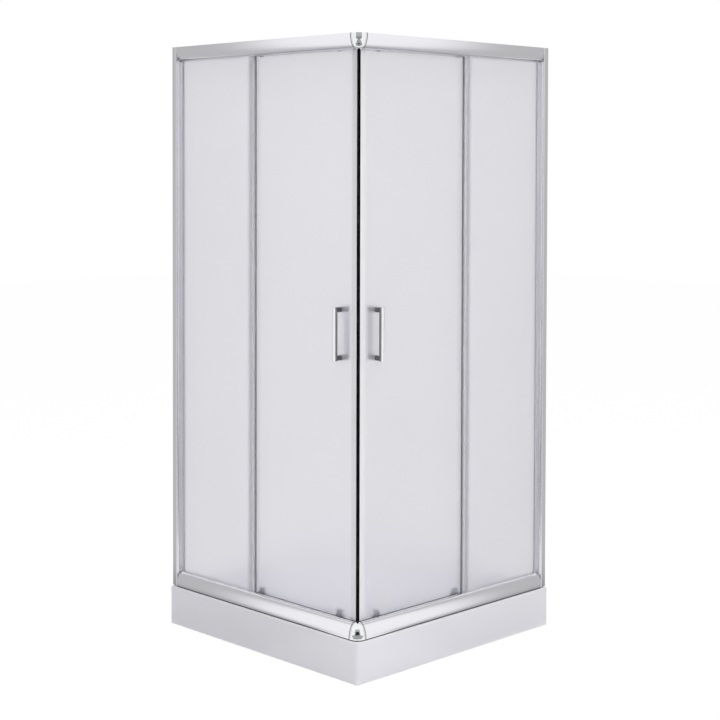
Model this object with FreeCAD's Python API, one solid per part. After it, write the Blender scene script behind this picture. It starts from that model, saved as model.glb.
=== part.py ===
import FreeCAD, Part
import math
import os

from FreeCAD import Vector

# A square corner-entry shower enclosure on its own tray. Two walls stand behind it, at -X and
# +Y. The two glazed sides are mirror images of each other about the vertical plane x + y = 0,
# and their two sliding doors meet at the front corner (+X, -Y).
#
# Everything on the glazed sides is drawn once, for the left side, which faces -Y. There, x runs
# from the wall at -X to the front corner, w runs inwards from the outermost face of the frame,
# and h is measured from a rail's flat web: upwards on the bottom rail, downwards on the top one.

# ---------------------------------------------------------------- tray
TRAY_SIDE = 900.0
TRAY_HEIGHT = 127.0
TRAY_WALL = 6.0
APRON_CORNER_RADIUS = 9.0
RIM_EDGE_RADIUS = 3.0
WALL_LIP_HEIGHT = 42.0
RIM_AT_GLASS = 76.0
RIM_AT_WALL = 42.0
BASIN_DEPTH = 41.0
BASIN_SLOPE = 0.5
BASIN_WALL_RUN = 12.0
BASIN_CORNER_RADIUS = 70.0
BASIN_LIP_RADIUS = 7.0
BASIN_COVE_RADIUS = 12.0
BASIN_UNDERSIDE = 74.0

# ---------------------------------------------------------------- what carries the tray
BOARD_SIDE = TRAY_SIDE - 200.0
BOARD_THICKNESS = 16.0
BEAM_WIDTH = 30.0
BEAM_WALL = 2.0
BEAM_LENGTH = 760.0
BEAM_OFFSET = 170.0
LEG_INSET = 25.0
STUD_RADIUS = 6.0
STUD_REACH = 22.0
FOOT_RADIUS = 25.0
FOOT_HEIGHT = 12.0

# ---------------------------------------------------------------- waste
WASTE_FROM_WALLS = 180.0
WASTE_HOLE_RADIUS = 43.0
WASTE_FLANGE_RADIUS = 56.0
WASTE_FLANGE_THICKNESS = 2.0
WASTE_SLEEVE_WALL = 2.5
WASTE_NECK = 12.0
WASTE_THREAD_RADIUS = 41.5
WASTE_SLEEVE_LENGTH = 48.0
WASTE_CLEARANCE = 80.0
COVER_RADIUS = 54.0
COVER_THICKNESS = 2.0
COVER_GAP = 3.0
COVER_LEG_COUNT = 3
COVER_LEG_WIDTH = 12.0
COVER_LEG_THICKNESS = 2.0
COVER_LEG_FOOT = 7.0
COVER_LEG_LENGTH = 24.0


# ---------------------------------------------------------------- glazed frame
FRAME_HEIGHT = 1820.0
FRAME_SETBACK = 6.0
SILL_SEAL_HEIGHT = 3.0
SILL_SEAL_INSET = 1.5
ALLOY_WALL = 1.5
CORNER_RADIUS = 30.0

RAIL_HEIGHT = 48.0
RAIL_NOSE_FLAT = 4.0
RAIL_NOSE_DEPTH = 25.0
RAIL_DEPTH = 60.0
TRACK_SHELF_HEIGHT = 32.0
TRACK_LIP_TIP = 46.2
TRACK_LIP_HEIGHT = 3.0
GLASS_POCKET_DEPTH = 14.0

WALL_PROFILE_WIDTH = 20.0
WALL_PROFILE_FACE = 1.0
WALL_PROFILE_DEPTH = 35.0
WALL_PROFILE_EDGE_RADIUS = 2.5
SIDE_PROFILE_NOSE = 5.0
SIDE_PROFILE_NOSE_FACE = 3.5
SIDE_PROFILE_HIDDEN = 17.0
SIDE_SLOT_DEPTH = 15.0
SIDE_SLOT_WIDTH = 9.0
SCREW_HOLE_RADIUS = 3.0
WALL_SCREW_SPACING = FRAME_HEIGHT - 180.0
WALL_SCREW_INNER_SPACING = 0.3 * FRAME_HEIGHT

END_CAP_THICKNESS = 3.8
END_CAP_INSET = 0.8
CAP_PROUD = 0.4
COLLAR_PROUD = 1.0
COLLAR_LENGTH = 6.5
TONGUE_LENGTH = 22.0
TONGUE_NEAR = 14.0
TONGUE_FAR = 23.0
TONGUE_HEIGHT = 28.0
CAP_POCKET_RADIUS = 12.0
CAP_POCKET_HEIGHT = 34.0

# ---------------------------------------------------------------- glass and seals
GLASS_THICKNESS = 5.0
FIXED_GLASS_W = 26.0
DOOR_GLASS_W = 38.0
GLASS_FIT = 0.3
FIXED_EDGE_FROM_CORNER = TRAY_SIDE / 2 + 24.0
DOOR_OVERLAP = 32.0
DOOR_EDGE_BACK = 17.0
DOOR_INTO_RAIL = 40.0
DOOR_TRAVEL = TRAY_SIDE / 2 - 125.0

GASKET_BEAD = 2.0
EDGE_SEAL_LEG = 8.0
EDGE_SEAL_WALL = 1.2
EDGE_SEAL_FIN = 2.0
EDGE_SEAL_NOSE = 3.6
SEAL_TO_RAIL = 1.5
TRAILING_LEG = 8.0
TRAILING_WALL = 0.9
TRAILING_NOSE = 1.9
TRAILING_FIN = 1.5
TRAILING_FIN_GAP = 0.8
CLIP_LEG = 8.0
CLIP_WALL = 1.0
CLIP_NOSE = 2.0
MAGNET_GAP = 0.25
MAGNET_THICKNESS = 5.0
MAGNET_OUTWARD = 4.5
MAGNET_INWARD = 6.0
MAGNET_INTO_RAIL = 8.0

# ---------------------------------------------------------------- rollers
WHEEL_RADIUS = 11.5
WHEEL_WIDTH = 8.0
WHEEL_FROM_PLATE = 2.6
WHEEL_TO_TRACK = 0.1
AXLE_RADIUS = 3.0
AXLE_FIT = 0.05
AXLE_SHOULDER_RADIUS = 4.6
AXLE_HEAD_RADIUS = 4.4
AXLE_HEAD_HEIGHT = 1.2
END_PLAY = 0.15
LEAD_ROLLER_INSET = 67.0
TRAIL_ROLLER_INSET = 53.0

PLATE_THICKNESS = 2.5
PLATE_WIDTH = 22.0
PLATE_CLIP = 0.2
PLATE_TIP = 9.0
PLATE_FOOT = 50.0
TOP_BOLT_H = 41.0
BOTTOM_BOLT_H = 38.0
BOLT_RADIUS = 4.5
BOLT_DISC_RADIUS = 7.0
BOLT_DISC_THICKNESS = 2.0

HOLDER_WIDTH = 27.0
HOLDER_DEPTH = 11.0
HOLDER_START = 33.2
HOLDER_END = 52.0
CARRIER_WIDTH = 18.0
CARRIER_THICKNESS = 2.0
CARRIER_FIT = 0.4
CARRIER_TRAVEL = 4.0
BUTTON_START = 57.5
BUTTON_HEIGHT = 6.0
BUTTON_REACH = 15.0

STOP_LENGTH = 11.0
STOP_GAP = 0.8
STOP_HEIGHT = 27.0

# ---------------------------------------------------------------- handles
HANDLE_FROM_CORNER = 85.0
HANDLE_HEIGHT = 914.0
HANDLE_SPACING = 147.0
HANDLE_POST = 14.0
HANDLE_STAND_OFF = 22.0
HANDLE_WIDTH = 19.0
HANDLE_THICKNESS = 8.0
HANDLE_EDGE = 3.5
HANDLE_END = 1.5
HANDLE_STUD_RADIUS = 3.0
HANDLE_STUD_DEPTH = 9.0
HANDLE_STUD_GAP = 1.0

# ---------------------------------------------------------------- worked out from the above
HALF = TRAY_SIDE / 2
FRAME_BASE = TRAY_HEIGHT + SILL_SEAL_HEIGHT
FRAME_TOP = FRAME_BASE + FRAME_HEIGHT
FACE_Y = -HALF + FRAME_SETBACK
CORNER_X = -FACE_Y - CORNER_RADIUS
WALL_X = -HALF
CHANNEL_END_X = WALL_X + WALL_PROFILE_WIDTH
RAIL_START_X = CHANNEL_END_X + END_CAP_THICKNESS
NOSE_END_X = CHANNEL_END_X + SIDE_PROFILE_NOSE
POCKET_NEAR = FIXED_GLASS_W - GLASS_FIT
POCKET_FAR = FIXED_GLASS_W + GLASS_THICKNESS + GLASS_FIT
POCKET_FLOOR = RAIL_HEIGHT - GLASS_POCKET_DEPTH
WEB_FAR = POCKET_FAR + ALLOY_WALL
TRACK_W = DOOR_GLASS_W + GLASS_THICKNESS + PLATE_THICKNESS + WHEEL_FROM_PLATE + WHEEL_WIDTH / 2
WHEEL_H = TRACK_SHELF_HEIGHT - ALLOY_WALL - WHEEL_TO_TRACK - WHEEL_RADIUS
SLOT_NEAR = FIXED_GLASS_W + (GLASS_THICKNESS - SIDE_SLOT_WIDTH) / 2
SLOT_FAR = SLOT_NEAR + SIDE_SLOT_WIDTH
SLOT_FLOOR_X = NOSE_END_X - SIDE_SLOT_DEPTH
SIDE_NEAR = WALL_PROFILE_FACE + ALLOY_WALL + GLASS_FIT
SIDE_FAR = WALL_PROFILE_FACE + WALL_PROFILE_DEPTH - ALLOY_WALL - GLASS_FIT
FIXED_EDGE_X = CORNER_X - FIXED_EDGE_FROM_CORNER
DOOR_LEAD_X = -(FACE_Y + DOOR_GLASS_W + GLASS_THICKNESS / 2) - DOOR_EDGE_BACK
DOOR_TRAIL_X = FIXED_EDGE_X - DOOR_OVERLAP
DOOR_INNER_W = DOOR_GLASS_W + GLASS_THICKNESS
DOOR_EDGE_H = RAIL_HEIGHT - DOOR_INTO_RAIL
HOLDER_BACK_W = DOOR_INNER_W + CARRIER_THICKNESS + 2 * CARRIER_FIT
LEAD_ROLLER_X = DOOR_LEAD_X - LEAD_ROLLER_INSET
TRAIL_ROLLER_X = DOOR_TRAIL_X + TRAIL_ROLLER_INSET
HANDLE_X = CORNER_X - HANDLE_FROM_CORNER
HANDLE_Z = FRAME_BASE + HANDLE_HEIGHT
WASTE_X = -HALF + WASTE_FROM_WALLS
WASTE_Y = HALF - WASTE_FROM_WALLS
BOARD_BOTTOM = BASIN_UNDERSIDE - BOARD_THICKNESS
BEAM_BOTTOM = BOARD_BOTTOM - BEAM_WIDTH
WASTE_FLOOR = TRAY_HEIGHT - BASIN_DEPTH
WASTE_SEAT = WASTE_FLOOR - WASTE_FLANGE_THICKNESS
WASTE_BORE_RADIUS = WASTE_THREAD_RADIUS - WASTE_SLEEVE_WALL

UP = Vector(0, 0, 1)


# ---------------------------------------------------------------- shaping helpers
def at(x, w, z):
    """A point of the left side: x along the panel, w inwards from the frame's face."""
    return Vector(x, FACE_Y + w, z)


def block(x0, x1, y0, y1, z0, z1):
    return Part.makeBox(x1 - x0, y1 - y0, z1 - z0, Vector(x0, y0, z0))


def side_block(x0, x1, w0, w1, z0, z1):
    """A box of the left side, between two values of x, of w and of z."""
    return block(x0, x1, FACE_Y + w0, FACE_Y + w1, z0, z1)


def rail_z(h, top):
    return FRAME_TOP - h if top else FRAME_BASE + h


def rail_block(x0, x1, w0, w1, h0, h1, top):
    low, high = sorted((rail_z(h0, top), rail_z(h1, top)))
    return side_block(x0, x1, w0, w1, low, high)


def rod(radius, start, end):
    """A round bar from one point to another."""
    run = end - start
    return Part.makeCylinder(radius, run.Length, start, run)


def joined(*shapes):
    whole = shapes[0]
    for shape in shapes[1:]:
        whole = whole.fuse(shape)
    return whole.removeSplitter()


def lines(points, closed=False):
    """Straight edges through the points."""
    ends = list(points[1:]) + ([points[0]] if closed else [])
    return [Part.makeLine(a, b) for a, b in zip(points, ends)]


def face_of(edges):
    return Part.Face(Part.Wire(Part.__sortEdges__(edges)))


def polygon_face(points):
    return face_of(lines(points, closed=True))


def plan_prism(outline, z0, z1):
    """A plan outline of (x, w) pairs of the left side, carried from z0 up to z1."""
    return polygon_face([at(x, w, z0) for x, w in outline]).extrude(UP * (z1 - z0))


def quarter_ellipse(centre, first, second):
    """A quarter ellipse between the ends of its two half axes."""
    longer, shorter = sorted((first, second), key=lambda end: -end.distanceToPoint(centre))
    return Part.Ellipse(longer, shorter, centre).toShape(0, math.pi / 2)


def rounded_rectangle(x0, x1, y0, y1, radius, z):
    """A closed wire of four lines and four quarter circles at height z."""
    half_turn = math.sqrt(0.5) * radius
    edges = []
    corners = [(x1, y0, 1, -1), (x1, y1, 1, 1), (x0, y1, -1, 1), (x0, y0, -1, -1)]
    arcs = []
    for x, y, sx, sy in corners:
        cx = x - sx * radius
        cy = y - sy * radius
        ends = [Vector(cx + sx * radius, cy, z), Vector(cx, cy + sy * radius, z)]
        if sx * sy < 0:
            ends.reverse()
        middle = Vector(cx + sx * half_turn, cy + sy * half_turn, z)
        arcs.append((ends[0], middle, ends[1]))
    for arc, following in zip(arcs, arcs[1:] + arcs[:1]):
        edges.append(Part.Arc(*arc).toShape())
        edges.append(Part.makeLine(arc[2], following[0]))
    return Part.Wire(edges)


def turned(profile, centre):
    """A closed outline of (radius, z) pairs turned about a vertical axis."""
    points = [centre + Vector(r, 0, z) for r, z in profile]
    return polygon_face(points).revolve(centre, UP, 360)


def mirrored(shape):
    """The same piece on the right side: (x, y) becomes (-y, -x)."""
    return shape.mirror(Vector(), Vector(1, 1, 0))


def save(name, *solids):
    shape = solids[0] if len(solids) == 1 else Part.makeCompound(list(solids))
    shape.exportStep("parts/" + name + ".step")


def save_pair(name, *solids):
    """Writes the left piece and its mirror image as two nodes."""
    save("left_" + name, *solids)
    save("right_" + name, *[mirrored(solid) for solid in solids])


def with_mirror(*solids):
    return list(solids) + [mirrored(solid) for solid in solids]


# ---------------------------------------------------------------- tray
def basin_outline(inset, z):
    """The basin's outline, drawn in from its opening in the rim."""
    radius = max(BASIN_CORNER_RADIUS - inset, 1.0)
    return rounded_rectangle(-HALF + RIM_AT_WALL + inset, HALF - RIM_AT_GLASS - inset,
                             -HALF + RIM_AT_GLASS + inset, HALF - RIM_AT_WALL - inset, radius, z)


def basin_space():
    """What the basin holds: leaning walls and a cove round a floor that falls to the waste."""
    walls = Part.makeLoft([basin_outline(0, TRAY_HEIGHT), basin_outline(BASIN_WALL_RUN, BASIN_UNDERSIDE)],
                          True, True)
    waste = Vector(WASTE_X, WASTE_Y, WASTE_FLOOR)
    below = block(-2 * TRAY_SIDE, 2 * TRAY_SIDE, -2 * TRAY_SIDE, 2 * TRAY_SIDE, -TRAY_HEIGHT, 0)
    below.rotate(Vector(), Vector(-1, -1, 0), BASIN_SLOPE)
    space = walls.cut(below.translated(waste))
    floor = min(space.Faces, key=lambda face: face.CenterOfMass.z)
    return space.makeFillet(BASIN_COVE_RADIUS, floor.Edges)


def tray_body():
    """The tray before its basin: a rim, aprons on the glazed sides, short lips at the walls, a bowl."""
    outside = block(-HALF, HALF, -HALF, HALF, 0, TRAY_HEIGHT)
    front = [e for e in outside.Edges
             if e.BoundBox.ZLength > 1 and e.BoundBox.XMin > 0 and e.BoundBox.YMax < 0]
    outside = outside.makeFillet(APRON_CORNER_RADIUS, front)
    rim = [e for e in outside.Edges
           if e.BoundBox.ZMin > TRAY_HEIGHT - 1 and (e.BoundBox.XMin > 0 or e.BoundBox.YMax < 0)]
    outside = outside.makeFillet(RIM_EDGE_RADIUS, rim)
    inside = HALF - TRAY_WALL
    hollow = block(-inside, inside, -inside, inside, -1, TRAY_HEIGHT - TRAY_WALL)
    wall_cut = block(-HALF - 1, -inside, -inside, HALF + 1, -1, TRAY_HEIGHT - WALL_LIP_HEIGHT)
    bowl = Part.makeLoft([basin_outline(-TRAY_WALL, TRAY_HEIGHT - TRAY_WALL),
                          basin_outline(BASIN_WALL_RUN, BASIN_UNDERSIDE)], True, True)
    return outside.cut(hollow).cut(wall_cut).cut(mirrored(wall_cut)).fuse(bowl)


def tray_shell():
    """The tray with its basin, a rolled lip round it, and the seat and hole of the waste."""
    shell = tray_body().cut(basin_space())
    lip = [e for e in shell.Edges
           if e.BoundBox.ZMin > TRAY_HEIGHT - 1 and e.BoundBox.YMin > -HALF + RIM_AT_GLASS - 1
           and e.BoundBox.XMax < HALF - RIM_AT_GLASS + 1 and e.BoundBox.XMin > -HALF + RIM_AT_WALL - 1
           and e.BoundBox.YMax < HALF - RIM_AT_WALL + 1]
    shell = shell.makeFillet(BASIN_LIP_RADIUS, lip)
    waste = Vector(WASTE_X, WASTE_Y, 0)
    hole = rod(WASTE_HOLE_RADIUS, waste + UP * (BASIN_UNDERSIDE - 1), waste + UP * TRAY_HEIGHT)
    seat = rod(WASTE_FLANGE_RADIUS + GLASS_FIT, waste + UP * WASTE_SEAT, waste + UP * TRAY_HEIGHT)
    return shell.cut(hole).cut(seat)


def base_board():
    """The stiffening board under the basin, cut away at the waste's corner."""
    half = BOARD_SIDE / 2
    board = block(-half, half, -half, half, BOARD_BOTTOM, BASIN_UNDERSIDE)
    return board.cut(block(-half - 1, WASTE_X + WASTE_CLEARANCE, WASTE_Y - WASTE_CLEARANCE, half + 1,
                           BOARD_BOTTOM - 1, BASIN_UNDERSIDE + 1))


def square_tube(length):
    """A square tube along X, centred on the origin, with its top face at z = 0."""
    half = BEAM_WIDTH / 2
    inner = half - BEAM_WALL
    solid = block(-length / 2, length / 2, -half, half, -BEAM_WIDTH, 0)
    return solid.cut(block(-length / 2 - 1, length / 2 + 1, -inner, inner,
                           -BEAM_WIDTH + BEAM_WALL, -BEAM_WALL))


def leg_places():
    reach = BEAM_LENGTH / 2 - LEG_INSET
    corners = [(x, y) for y in (BEAM_OFFSET, -BEAM_OFFSET) for x in (reach, -reach)]
    return corners + [(0, 0)]


def tray_frame():
    """Two long tubes and a welded cross tube, drilled for the five leg studs."""
    long_tube = square_tube(BEAM_LENGTH)
    cross = square_tube(2 * BEAM_OFFSET - BEAM_WIDTH)
    cross.rotate(Vector(), UP, 90)
    tubes = [long_tube.translated(Vector(0, side * BEAM_OFFSET, 0)) for side in (1, -1)]
    frame = joined(cross, *tubes).translated(UP * BOARD_BOTTOM)
    for x, y in leg_places():
        frame = frame.cut(rod(STUD_RADIUS, Vector(x, y, BEAM_BOTTOM - 1),
                              Vector(x, y, BEAM_BOTTOM + BEAM_WALL + 1)))
    return frame


def leg_stud(x, y):
    return rod(STUD_RADIUS, Vector(x, y, FOOT_HEIGHT), Vector(x, y, BEAM_BOTTOM + STUD_REACH))


def foot_pad(x, y):
    return rod(FOOT_RADIUS, Vector(x, y, 0), Vector(x, y, FOOT_HEIGHT))


def build_tray():
    save("tray_shell", tray_shell())
    save("tray_base_board", base_board())
    save("tray_frame", tray_frame())
    save("tray_leg_studs", *[leg_stud(x, y) for x, y in leg_places()])
    save("tray_foot_pads", *[foot_pad(x, y) for x, y in leg_places()])


# ---------------------------------------------------------------- waste
def waste_flange():
    """The ring let into the tray's floor, and its sleeve, whose lower length takes a trap's nut."""
    neck = WASTE_HOLE_RADIUS - GLASS_FIT
    thread_top = WASTE_SEAT - WASTE_NECK
    bottom = WASTE_SEAT - WASTE_SLEEVE_LENGTH
    profile = [(WASTE_BORE_RADIUS, bottom), (WASTE_THREAD_RADIUS, bottom), (WASTE_THREAD_RADIUS, thread_top),
               (neck, thread_top), (neck, WASTE_SEAT), (WASTE_FLANGE_RADIUS, WASTE_SEAT),
               (WASTE_FLANGE_RADIUS, WASTE_FLOOR), (WASTE_BORE_RADIUS, WASTE_FLOOR)]
    return turned(profile, Vector(WASTE_X, WASTE_Y, 0))


def waste_cover():
    """A disc that stands over the flange on hooked legs, so that water runs in under its edge."""
    underside = WASTE_FLOOR + COVER_GAP
    centre = Vector(WASTE_X, WASTE_Y, 0)
    cover = rod(COVER_RADIUS, centre + UP * underside, centre + UP * (underside + COVER_THICKNESS))
    inner = WASTE_BORE_RADIUS
    half = COVER_LEG_WIDTH / 2
    leg = block(inner - COVER_LEG_THICKNESS, inner, -half, half, WASTE_SEAT - COVER_LEG_LENGTH, underside)
    hook = block(inner - COVER_LEG_THICKNESS, inner + COVER_LEG_FOOT, -half, half, WASTE_FLOOR, underside)
    leg = leg.common(rod(inner - GLASS_FIT, Vector(), UP * TRAY_HEIGHT)).fuse(hook)
    for turn in range(COVER_LEG_COUNT):
        copy = leg.copy()
        copy.rotate(Vector(), UP, 360 / COVER_LEG_COUNT * turn)
        cover = cover.fuse(copy.translated(centre))
    return cover.removeSplitter()


def build_waste():
    save("waste_flange", waste_flange())
    save("waste_cover", waste_cover())


# ---------------------------------------------------------------- rails
def rail_points(x, top, *pairs):
    return [at(x, w, rail_z(h, top)) for w, h in pairs]


def nose_curve(x, top, proud):
    """The rail's curved outer face: upright at the web, level where it meets the glass."""
    centre, low, high = rail_points(x, top, (RAIL_NOSE_DEPTH, RAIL_NOSE_FLAT), (-proud, RAIL_NOSE_FLAT),
                                    (RAIL_NOSE_DEPTH, RAIL_HEIGHT + proud))
    return quarter_ellipse(centre, low, high)


def rail_section(x, top):
    """The extruded section: a hollow nose, a pocket for the glass, and a lipped shelf for the wheels."""
    shelf = TRACK_SHELF_HEIGHT - ALLOY_WALL
    skirt = RAIL_DEPTH - ALLOY_WALL
    lip = TRACK_LIP_TIP + ALLOY_WALL
    outline = lines(rail_points(
        x, top, (RAIL_NOSE_DEPTH, RAIL_HEIGHT), (POCKET_NEAR, RAIL_HEIGHT), (POCKET_NEAR, POCKET_FLOOR),
        (POCKET_FAR, POCKET_FLOOR), (POCKET_FAR, RAIL_HEIGHT), (WEB_FAR, RAIL_HEIGHT), (WEB_FAR, ALLOY_WALL),
        (skirt, ALLOY_WALL), (skirt, shelf), (lip, shelf), (lip, shelf - TRACK_LIP_HEIGHT),
        (TRACK_LIP_TIP, shelf - TRACK_LIP_HEIGHT), (TRACK_LIP_TIP, TRACK_SHELF_HEIGHT),
        (RAIL_DEPTH, TRACK_SHELF_HEIGHT), (RAIL_DEPTH, 0), (0, 0), (0, RAIL_NOSE_FLAT)))
    section = face_of(outline + [nose_curve(x, top, 0)])
    return section.cut(rail_hollow(x, top))


def rail_hollow(x, top):
    """The closed chamber behind the nose and under the pocket."""
    wall = POCKET_NEAR - ALLOY_WALL
    ceiling = POCKET_FLOOR - ALLOY_WALL
    share = (RAIL_NOSE_DEPTH - wall) / (RAIL_NOSE_DEPTH - ALLOY_WALL)
    wall_top = RAIL_NOSE_FLAT + (RAIL_HEIGHT - ALLOY_WALL - RAIL_NOSE_FLAT) * math.sqrt(1 - share ** 2)
    centre, low, high = rail_points(x, top, (RAIL_NOSE_DEPTH, RAIL_NOSE_FLAT), (ALLOY_WALL, RAIL_NOSE_FLAT),
                                    (RAIL_NOSE_DEPTH, RAIL_HEIGHT - ALLOY_WALL))
    quarter = face_of([quarter_ellipse(centre, low, high)] + lines([high, centre, low]))
    left = polygon_face(rail_points(x, top, (0, 0), (wall, 0), (wall, wall_top + 1), (0, wall_top + 1)))
    low_part = polygon_face(rail_points(x, top, (ALLOY_WALL, ALLOY_WALL), (POCKET_FAR, ALLOY_WALL),
                                        (POCKET_FAR, ceiling), (wall, ceiling), (wall, RAIL_NOSE_FLAT),
                                        (ALLOY_WALL, RAIL_NOSE_FLAT)))
    return quarter.common(left).fuse(low_part).removeSplitter()


def past_mitre():
    """All that lies beyond the mirror plane x + y = 0."""
    reach = 2 * TRAY_SIDE
    outline = [Vector(-reach, reach, -1), Vector(reach, -reach, -1), Vector(reach, reach, -1)]
    return polygon_face(outline).extrude(UP * (FRAME_TOP + 2))


def rail(top):
    long_rail = rail_section(RAIL_START_X, top).extrude(Vector(CORNER_X - RAIL_START_X, 0, 0))
    return long_rail.cut(past_mitre())


def end_cap(top):
    """The moulded plate that closes a rail's wall end, notched for the fixed glass, with a tongue."""
    inset = END_CAP_INSET
    x0 = CHANNEL_END_X
    curve = nose_curve(x0, top, -inset)
    edges = lines(rail_points(x0, top, (RAIL_NOSE_DEPTH, RAIL_HEIGHT - inset),
                              (WEB_FAR, RAIL_HEIGHT - inset), (WEB_FAR, TRACK_SHELF_HEIGHT),
                              (RAIL_DEPTH, TRACK_SHELF_HEIGHT), (RAIL_DEPTH, 0), (inset, 0),
                              (inset, RAIL_NOSE_FLAT)))
    plate = face_of(edges + [curve]).extrude(Vector(RAIL_START_X - x0, 0, 0))
    plate = plate.cut(rail_block(x0 - 1, RAIL_START_X + 1, POCKET_NEAR, POCKET_FAR, POCKET_FLOOR,
                                 RAIL_HEIGHT + 1, top))
    return plate.fuse(rail_tongue(RAIL_START_X, 1, top))


def rail_tongue(x, direction, top):
    """The plug that a cap pushes into a rail's chamber, starting at x."""
    x0, x1 = sorted((x, x + direction * TONGUE_LENGTH))
    return rail_block(x0, x1, TONGUE_NEAR, TONGUE_FAR, ALLOY_WALL, TONGUE_HEIGHT, top)


def corner_cap(top):
    """The domed corner: the rail's nose turned a quarter, a collar over each rail, a tongue in each."""
    axis = Vector(CORNER_X, -CORNER_X, 0)
    top_h = RAIL_HEIGHT + CAP_PROUD
    edges = lines(rail_points(CORNER_X, top, (RAIL_NOSE_DEPTH, top_h), (CORNER_RADIUS, top_h),
                              (CORNER_RADIUS, CAP_POCKET_HEIGHT),
                              (CORNER_RADIUS - CAP_POCKET_RADIUS, CAP_POCKET_HEIGHT),
                              (CORNER_RADIUS - CAP_POCKET_RADIUS, 0), (-CAP_PROUD, 0),
                              (-CAP_PROUD, RAIL_NOSE_FLAT)))
    dome = face_of(edges + [nose_curve(CORNER_X, top, CAP_PROUD)]).revolve(axis, UP, 90)
    side = collar(top).fuse(rail_tongue(CORNER_X, -1, top))
    return joined(dome, side, mirrored(side))


def collar(top):
    """The short sleeve of a corner cap that grips the outside of the rail."""
    x0 = CORNER_X - COLLAR_LENGTH
    edges = lines(rail_points(x0, top, (RAIL_NOSE_DEPTH, RAIL_HEIGHT + COLLAR_PROUD),
                              (RAIL_NOSE_DEPTH, RAIL_HEIGHT)))
    edges += lines(rail_points(x0, top, (0, RAIL_NOSE_FLAT), (0, 0), (-COLLAR_PROUD, 0),
                               (-COLLAR_PROUD, RAIL_NOSE_FLAT)))
    band = face_of(edges + [nose_curve(x0, top, COLLAR_PROUD), nose_curve(x0, top, 0)])
    return band.extrude(Vector(COLLAR_LENGTH, 0, 0))


def sill_seal():
    """The black strip that the bottom rails and the corner cap stand on."""
    strip = side_block(RAIL_START_X, CORNER_X, SILL_SEAL_INSET, RAIL_DEPTH - SILL_SEAL_INSET,
                       TRAY_HEIGHT, FRAME_BASE).cut(past_mitre())
    radius = CORNER_RADIUS - SILL_SEAL_INSET
    corner = Part.makeCylinder(radius, SILL_SEAL_HEIGHT, Vector(CORNER_X, -CORNER_X, TRAY_HEIGHT), UP, 90)
    corner.rotate(Vector(CORNER_X, -CORNER_X, 0), UP, -90)
    return joined(strip, mirrored(strip), corner)


def build_rails():
    save_pair("bottom_rail", rail(False))
    save_pair("top_rail", rail(True))
    save("rail_end_caps", *with_mirror(end_cap(False), end_cap(True)))
    save("corner_caps", corner_cap(False), corner_cap(True))
    save("sill_seal", sill_seal())


# ---------------------------------------------------------------- uprights
def wall_screw_heights():
    middle = (FRAME_BASE + FRAME_TOP) / 2
    return [middle + sign * spacing / 2 for spacing in (WALL_SCREW_SPACING, WALL_SCREW_INNER_SPACING)
            for sign in (1, -1)]


def wall_profile():
    """The channel that is screwed to the wall, with a rounded outer edge."""
    near = WALL_PROFILE_FACE
    far = near + WALL_PROFILE_DEPTH
    channel = side_block(WALL_X, CHANNEL_END_X, near, far, FRAME_BASE, FRAME_TOP)
    edge = [e for e in channel.Edges
            if e.BoundBox.ZLength > FRAME_HEIGHT / 2
            and abs(e.BoundBox.XMax - CHANNEL_END_X) < 0.1
            and abs(e.BoundBox.YMax - FACE_Y - near) < 0.1]
    channel = channel.makeFillet(WALL_PROFILE_EDGE_RADIUS, edge)
    channel = channel.cut(side_block(WALL_X + ALLOY_WALL, CHANNEL_END_X + 1, near + ALLOY_WALL,
                                     far - ALLOY_WALL, FRAME_BASE - 1, FRAME_TOP + 1))
    middle = near + WALL_PROFILE_DEPTH / 2
    for z in wall_screw_heights():
        hole = rod(SCREW_HOLE_RADIUS, at(WALL_X - 1, middle, z), at(WALL_X + ALLOY_WALL + 1, middle, z))
        channel = channel.cut(hole)
    return channel


def side_profile():
    """The upright that slides in the wall channel and holds the fixed glass in its slot."""
    back = CHANNEL_END_X - SIDE_PROFILE_HIDDEN
    hidden = side_block(back, CHANNEL_END_X, SIDE_NEAR, SIDE_FAR, FRAME_BASE, FRAME_TOP)
    low = FRAME_BASE + RAIL_HEIGHT
    high = FRAME_TOP - RAIL_HEIGHT
    curve = quarter_ellipse(at(CHANNEL_END_X, SLOT_NEAR, low), at(NOSE_END_X, SLOT_NEAR, low),
                            at(CHANNEL_END_X, SIDE_PROFILE_NOSE_FACE, low))
    nose = face_of([curve] + lines([at(CHANNEL_END_X, SIDE_PROFILE_NOSE_FACE, low),
                                    at(CHANNEL_END_X, SIDE_FAR, low), at(NOSE_END_X, SIDE_FAR, low),
                                    at(NOSE_END_X, SLOT_NEAR, low)]))
    upright = joined(hidden, nose.extrude(UP * (high - low)))
    chamber = side_block(back + ALLOY_WALL, CHANNEL_END_X - ALLOY_WALL, SIDE_NEAR + ALLOY_WALL,
                         SLOT_NEAR - ALLOY_WALL, FRAME_BASE - 1, FRAME_TOP + 1)
    slot = side_block(SLOT_FLOOR_X, NOSE_END_X + 1, SLOT_NEAR, SLOT_FAR, FRAME_BASE - 1, FRAME_TOP + 1)
    return upright.cut(chamber).cut(slot)


def glass_gasket():
    """The soft channel round the glass in the upright's slot, with a bead that shows."""
    outer = GLASS_FIT / 2
    thick_near = FIXED_GLASS_W - outer / 2
    thick_far = FIXED_GLASS_W + GLASS_THICKNESS + outer / 2
    body = side_block(SLOT_FLOOR_X, NOSE_END_X + GASKET_BEAD, SLOT_NEAR + outer, SLOT_FAR - outer,
                      FRAME_BASE + RAIL_HEIGHT, FRAME_TOP - RAIL_HEIGHT)
    return body.cut(side_block(SLOT_FLOOR_X + ALLOY_WALL, NOSE_END_X + GASKET_BEAD + 1,
                               thick_near, thick_far, FRAME_BASE, FRAME_TOP))


def build_uprights():
    save_pair("wall_profile", wall_profile())
    save_pair("side_profile", side_profile())
    save("glass_gaskets", *with_mirror(glass_gasket()))


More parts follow.
